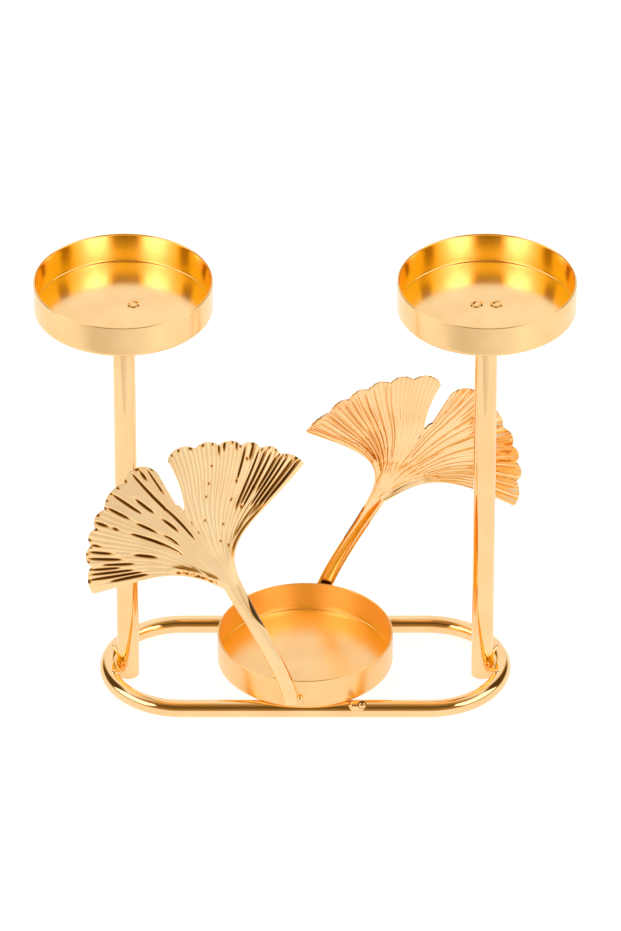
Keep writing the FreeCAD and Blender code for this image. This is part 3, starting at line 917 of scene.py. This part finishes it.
class HOLDER_OT_leaves(bpy.types.Operator):
    """Leaves: two stamped ginkgo leaves, each with its hollow stem"""

    bl_idname = "holder.leaves"
    bl_label = "Leaves"

    def execute(self, context):
        finishes = context.scene.holder_finishes
        leaf = context.scene.holder_leaf
        # The leaves' painted shade shows through these two tones
        leaf_gold = plated("leaf_gold", finishes.leaf_gold, finishes.leaf_roughness, 70.0, 3800.0, 1e-6, 0.04,
                           (finishes.painted_shade_orange, finishes.painted_shade_brown))
        place = LeafFrame(leaf)
        shells = [*blade_shells(leaf, place), stem_shell(leaf, place)]
        front = make_piece("front_leaf", shells, leaf_gold, 55.0)
        front.visible_glossy = False
        half_turn = np.array((-1.0, -1.0, 1.0))
        for shell in shells:
            shell.points = shell.points * half_turn
        make_piece("rear_leaf", shells, leaf_gold, 55.0)
        return {"FINISHED"}


def bead(start, end, radius, seed, lump=0.04, squareness=2.0, rows=26, columns=48):
    """Run of weld metal with round ends, a round or squarish section and the ripples of its making."""
    start, end = np.asarray(start), np.asarray(end)
    heading = unit(end - start)
    helper = UP if abs(heading[2]) < 0.8 else np.array((1.0, 0.0, 0.0))
    side = unit(np.cross(heading, helper))
    top = np.cross(side, heading)
    run = np.linalg.norm(end - start)
    angle = np.linspace(0.0, math.pi, rows)
    place = np.clip((1.0 - np.cos(angle)) / 2 * (run + 2 * radius) - radius, -radius, run + radius)
    past = np.maximum(np.maximum(-place, place - run), 0.0)
    girth = np.sqrt(np.maximum(radius ** 2 - past ** 2, 0.0))
    girth *= 1.0 + 0.75 * lump * np.cos(place / (0.9 * MM) * 2 * math.pi)
    circle = np.linspace(0.0, 2 * math.pi, columns, endpoint=False)
    ring = side[None, :] * np.cos(circle)[:, None] + top[None, :] * np.sin(circle)[:, None]
    section = np.abs(np.cos(circle)) ** squareness + np.abs(np.sin(circle)) ** squareness
    ring = ring * section[:, None] ** (-1.0 / squareness)
    points = start + heading * place[:, None, None] + ring[None, :, :] * girth[:, None, None]
    lumps = 1.0 + lump * ripple(points, 1.6 * MM, seed)
    middle = start + heading * np.clip(place, 0.0, run)[:, None, None]
    return Shell(middle + (points - middle) * lumps[..., None], loop_columns=True)


def button(centre, facing, radius):
    """Round drop of weld metal, with a painted shade ring round its side."""
    facing = unit(facing)
    side = unit(np.cross(facing, UP))
    top = np.cross(side, facing)
    tilt = np.linspace(0.0, math.radians(150.0), 24)[:, None]
    circle = np.linspace(0.0, 2 * math.pi, 40, endpoint=False)[None, :]
    around = side * np.cos(circle)[..., None] + top * np.sin(circle)[..., None]
    points = centre + radius * (np.sin(tilt)[..., None] * around + 0.7 * np.cos(tilt)[..., None] * facing)
    # Painted shade: a dark ring round the drop's side
    rim = smooth(np.degrees(tilt), 42.0, 56.0) * (1.0 - smooth(np.degrees(tilt), 84.0, 100.0))
    return Shell(points, loop_columns=True, groove=rim + 0.0 * circle)


def floor_mark(centre, sizes, opening, seed):
    """Low crescent of weld metal that came through a cup's floor; opening is where its curl is broken."""
    angle = np.linspace(0.0, 2 * math.pi, 72, endpoint=False)[None, :]
    reach = np.linspace(0.0, 1.0, 26)[:, None]
    curl = np.exp(-((reach - 0.52 - 0.05 * np.sin(angle * 2 + seed)) / 0.16) ** 2)
    gap = 1.0 - 0.9 * np.exp(-(((angle - opening + math.pi) % (2 * math.pi) - math.pi) / 0.75) ** 2)
    height = sizes.mark_height * (curl * gap + 0.25 * np.exp(-((reach - 0.1) / 0.2) ** 2))
    height = height * smooth(1.0 - reach, 0.0, 0.3) - 0.06 * MM * smooth(reach, 0.8, 1.0)
    radius = sizes.mark_radius * reach
    x = centre[0] + radius * np.cos(angle)
    y = centre[1] + radius * np.sin(angle)
    return Shell(np.stack([x, y, centre[2] + height + 0.0 * x], axis=-1), loop_columns=True)


class HOLDER_OT_welds(bpy.types.Operator):
    """Welds: beads at the posts' feet, under the cups, on the bars and beside the stems"""

    bl_idname = "holder.welds"
    bl_label = "Welds"

    def execute(self, context):
        finishes = context.scene.holder_finishes
        sizes = context.scene.holder_welds
        # The weld buttons' painted shade shows through these two tones
        bead_gold = plated("bead_gold", finishes.bead_gold, finishes.bead_roughness, 220.0, 1500.0, 2e-5, 0.08,
                           (finishes.painted_shade_orange, finishes.painted_shade_brown))
        mark_gold = plated("mark_gold", finishes.cup_gold, finishes.bead_roughness, 220.0, 1500.0, 2e-5, 0.08)
        ring = RingSizes()
        openings = {"left": ((0.0, 2.4),), "right": ((0.0, 0.4), (math.pi, 1.2))}
        for seed, (hand, sign) in enumerate(HANDS.items(), 5):
            self.foot_weld(hand, sign, ring, sizes, bead_gold, seed)
            self.cup_weld(hand, openings[hand], sizes, context.scene.holder_cups, mark_gold, seed)
        self.tack_welds(ring, sizes, bead_gold)
        self.stem_welds(context.scene.holder_leaf, sizes, bead_gold)
        return {"FINISHED"}

    @staticmethod
    def foot_weld(hand, sign, ring, sizes, metal, seed):
        run, inset, height = sizes.seam
        part = np.sin(np.linspace(-math.pi / 2, math.pi / 2, 41))
        angle = part * run / ring.bend
        reach = ring.bend - inset
        path = np.column_stack([
            sign * (ring.straight + reach * np.cos(angle)), reach * np.sin(angle), np.full(41, height)])
        shells = [Shell(rod_along(path, sizes.seam_radius * np.sqrt(1.0 - part ** 2)), loop_columns=True)]
        for depth in (-1, 1):
            ends = []
            for run, inset, height in (sizes.foot_start, sizes.foot_end):
                reach = ring.bend - inset
                angle = run / ring.bend
                ends.append((
                    sign * (ring.straight + reach * math.cos(angle)), depth * reach * math.sin(angle), height))
            shells.append(bead(*ends, sizes.foot_radius, seed + depth, 0.02))
        make_piece(hand + "_foot_weld", shells, metal)

    @staticmethod
    def cup_weld(hand, marks, sizes, cups, metal, seed):
        low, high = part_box(hand + "_post")
        centre = (low + high) / 2
        radius = (high.x - low.x) / 2
        leg = sizes.collar_leg
        bow = corner_arc((radius + leg, high.z - leg), leg, 180, 90, 9)
        profile = [(radius - 0.3 * MM, high.z), (radius - 0.3 * MM, high.z - leg * 1.1), *bow]

        def chatter(reach, height, angle):
            wave = 0.06 * leg * np.sin(angle * 26 + seed) * smooth(reach, radius, radius + 0.3 * leg)
            return reach + wave, height

        shells = [Shell(lathe(profile, centre, 208, chatter), loop_rows=True, loop_columns=True)]
        floor = high.z + cups.sheet + cups.crown
        reach = radius - cups.post_wall / 2
        for angle, opening in marks:
            place = (centre.x + reach * math.cos(angle), centre.y + reach * math.sin(angle), floor)
            shells.append(floor_mark(place, sizes, opening, seed))
        make_piece(hand + "_cup_weld", shells, metal, 60.0)

    @staticmethod
    def tack_welds(ring, sizes, metal):
        shells = []
        for depth in (-1, 1):
            ends = []
            for run in (-sizes.tack_length / 2, sizes.tack_length / 2):
                across = -depth * (sizes.tack_offset + run)
                ends.append((across, depth * (ring.bend + sizes.tack_lead), 2 * ring.rod - sizes.tack_sink))
            shells.append(bead(*ends, sizes.tack_radius, 20 + depth, 0.015, squareness=4.0))
            centre = (-depth * sizes.button_offset, depth * (ring.bend + sizes.button_lead), 2 * ring.rod)
            shells.append(button(centre, (0.0, depth, 0.25), sizes.button_radius))
        make_piece("centre_cup_tack_welds", shells, metal)

    @staticmethod
    def stem_welds(leaf, sizes, metal):
        place = LeafFrame(leaf)
        side = np.cross(UP, place.wall)
        radius = sizes.stem_radius
        shells = []
        for hand in (-1, 1):
            foot = place.foot + side * (hand * leaf.foot_width / 2) + place.wall * radius / 2
            shells.append(bead(foot + UP * radius, foot + UP * (2 * radius), radius, 30 + hand))
        make_piece("front_stem_weld", shells, metal)
        for shell in shells:
            shell.points = shell.points * np.array((-1.0, -1.0, 1.0))
        make_piece("rear_stem_weld", shells, metal)


def add_stage_object(name, mesh, material):
    mesh.materials.append(material)
    thing = bpy.data.objects.new(name, mesh)
    bpy.context.scene.collection.objects.link(thing)
    return thing


def table_mesh(stage):
    """Level table with its front edge near the object and far sides."""
    near, far = -stage.table_front, stage.table_reach
    mesh = bpy.data.meshes.new("table")
    mesh.from_pydata([(-far, near, 0.0), (far, near, 0.0), (far, far, 0.0), (-far, far, 0.0)], [], [[0, 1, 2, 3]])
    return mesh


def table_material():
    """White table: partly its own light, partly lit, so that it stays white and keeps a soft shadow."""
    material, board = new_board("table_white")
    shader = board.add("ShaderNodeBsdfPrincipled", None, {
        "Base Color": (0.35, 0.35, 0.35, 1.0), "Roughness": 1.0, "Specular IOR Level": 0.0,
        "Emission Color": (1.0, 1.0, 1.0, 1.0), "Emission Strength": 0.85})
    board.add("ShaderNodeOutputMaterial", None, {"Surface": shader})
    return material


def dome_material():
    """Studio round the object, as it shows once mirrored in the rods and twice mirrored inside the cups."""
    material, board = new_board("studio_light")
    place = board.add("ShaderNodeVectorMath", {"operation": "NORMALIZE"}, {0: board.place()})
    sideways, depth, height = (board.add("ShaderNodeSeparateXYZ", None, {0: place}, axis) for axis in "XYZ")
    forward = depth * -1.0
    degrees = 180.0 / math.pi
    pitch = height.math("ARCTAN2", forward) * degrees
    turned = sideways.math("ARCTAN2", forward) * degrees
    azimuth = abs(turned)
    rise = height.math("ARCSINE") * degrees

    under = 1.4 * board.ramp(turned + 180.0, 360.0, (
        (0, 0.72), (120, 0.68), (145, 0.58), (170, 0.62), (190, 0.68), (208, 0.73), (225, 0.86), (255, 0.93),
        (285, 0.82), (320, 0.72)))
    front = 1.2 * board.ramp(rise + 90.0, 180.0, (
        (85, 0.84), (89, 0.75), (93, 0.56), (98, 0.4), (104, 0.28), (117, 0.27), (124, 0.2), (130, 0.11)))
    side = 1.2 * board.ramp(rise + 90.0, 180.0, ((85, 0.84), (94, 0.82), (99, 0.35), (102, 0.1), (144, 0.08)))
    once = front + board.step(azimuth, 40, 60) * (side - front)
    panel = board.step(azimuth - 0.6 * abs(rise - 33.0), 34, 40) * (1.0 - board.step(azimuth, 100, 106))
    panel = panel * board.step(rise, 13, 16) * (1.0 - board.step(rise, 46, 50))
    once = once + panel * (2.2 - once)
    once = once + board.step(azimuth, 138, 155) * (1.08 - once)
    high = 1.2 * board.ramp(pitch, 180.0, (
        (46, 0.11), (54, 0.17), (66, 0.27), (79, 0.38), (94, 0.56), (108, 0.85), (130, 0.93)))
    once = once + board.step(rise, 46, 54) * (high - once)
    once = under + board.step(rise, -8, -2) * (once - under)
    white = board.step(once, 0.4, 1.05).math("MAXIMUM", 1.0 - board.step(rise, -8, -2))
    once_tint = board.blend(white, (1.0, 0.63, 0.2), (1.0, 1.0, 1.0))

    off_middle = abs(turned + 3.0)
    dim = 2.5 * board.ramp(off_middle, 180.0, (
        (0, 0.5), (12, 0.54), (24, 0.7), (40, 0.85), (60, 0.68), (76, 0.54), (90, 0.44), (180, 0.48)))
    spots = 5.0 * board.ramp(off_middle, 180.0, (
        (0, 0.025), (15, 0.03), (20, 0.2), (28, 0.6), (40, 0.9), (50, 0.7), (62, 0.38), (76, 0.28), (85, 0.06),
        (95, 0.06), (103, 0.23), (180, 0.24)))
    twice = dim + board.step(rise, 25.5, 28) * (1.0 - board.step(rise, 38.5, 41)) * (spots - dim)
    twice = twice + board.step(rise, 49, 56) * (high - twice)
    twice = under + board.step(rise, -2, 4) * (twice - under)
    white = board.step(twice, 1.1, 2.3).math("MAXIMUM", 1.0 - board.step(rise, 2, 10))
    warm = board.blend(board.step(twice, 0.3, 1.0), (1.0, 0.55, 0.03), (1.0, 0.82, 0.04))
    twice_tint = board.blend(white, warm, (1.0, 1.0, 1.0))

    bounce = board.step(board.add("ShaderNodeLightPath", output="Glossy Depth"), 1.2, 1.8)
    tint = board.blend(bounce, once_tint, twice_tint)
    level = once + bounce * (twice - once)
    shade = board.add("ShaderNodeVectorMath", {"operation": "SCALE"}, {0: tint, "Scale": level})
    light = board.add("ShaderNodeEmission", None, {"Color": shade, "Strength": 1.0})
    board.add("ShaderNodeOutputMaterial", None, {"Surface": light})
    material.cycles.emission_sampling = "NONE"
    return material


def dome_mesh(radius):
    """Sphere round the table."""
    angle = np.linspace(-math.pi / 2, math.pi / 2, 65)
    profile = np.stack([radius * np.cos(angle), radius * np.sin(angle)], axis=1)
    mesh = bpy.data.meshes.new("studio_dome")
    points = lathe(profile, (0.0, 0.0), 96)
    mesh.from_pydata(points.reshape(-1, 3).tolist(), [], grid_faces(65, 96, False, True, 0).tolist())
    mesh.shade_smooth()
    return mesh


class HOLDER_OT_stage(bpy.types.Operator):
    """Stage: white table, soft studio light and the camera"""

    bl_idname = "holder.stage"
    bl_label = "Stage"

    def execute(self, context):
        stage = context.scene.holder_stage
        table = add_stage_object("table", table_mesh(stage), table_material())
        dome = add_stage_object("studio_dome", dome_mesh(stage.dome_radius), dome_material())
        table.location.z = cad_box[0].z
        dome.visible_camera = False
        world = bpy.data.worlds.new("studio")
        world.use_nodes = True
        board = Board(world.node_tree)
        light = board.add("ShaderNodeBackground", None, {"Color": (1.0, 1.0, 1.0, 1.0), "Strength": 1.0})
        board.add("ShaderNodeOutputWorld", None, {"Surface": light})
        context.scene.world = world
        self.add_camera(context, stage)
        context.scene.view_settings.view_transform = "Standard"
        return {"FINISHED"}

    @staticmethod
    def add_camera(context, stage):
        lens = bpy.data.cameras.new("camera")
        lens.lens = stage.camera_lens
        lens.clip_end = 100.0
        camera = bpy.data.objects.new("camera", lens)
        level = math.cos(stage.camera_elevation)
        back = Vector((0.0, -level, math.sin(stage.camera_elevation)))
        camera.location = Vector(stage.camera_aim) + back * stage.camera_distance
        camera.rotation_euler = (math.pi / 2 - stage.camera_elevation, 0.0, 0.0)
        context.scene.collection.objects.link(camera)
        context.scene.camera = camera


OPERATORS = (HOLDER_OT_ring, HOLDER_OT_posts, HOLDER_OT_cups, HOLDER_OT_leaves, HOLDER_OT_welds, HOLDER_OT_stage)


class HOLDER_PT_pieces(bpy.types.Panel):
    """Pieces of the candle holder"""

    bl_idname = "HOLDER_PT_pieces"
    bl_label = "Candle Holder"
    bl_space_type = "VIEW_3D"
    bl_region_type = "UI"
    bl_category = "Holder"

    def draw(self, context):
        for operator in OPERATORS:
            self.layout.operator(operator.bl_idname)


CLASSES = (*GROUPS.values(), *OPERATORS, HOLDER_PT_pieces)


def register():
    for item in CLASSES:
        bpy.utils.register_class(item)
    for name, group in GROUPS.items():
        setattr(bpy.types.Scene, name, PointerProperty(type=group))


def unregister():
    for name in GROUPS:
        delattr(bpy.types.Scene, name)
    for item in reversed(CLASSES):
        bpy.utils.unregister_class(item)


def main():
    register()
    for operator in OPERATORS:
        group, name = operator.bl_idname.split(".")
        getattr(getattr(bpy.ops, group), name)()


if __name__ == "__main__":
    main()
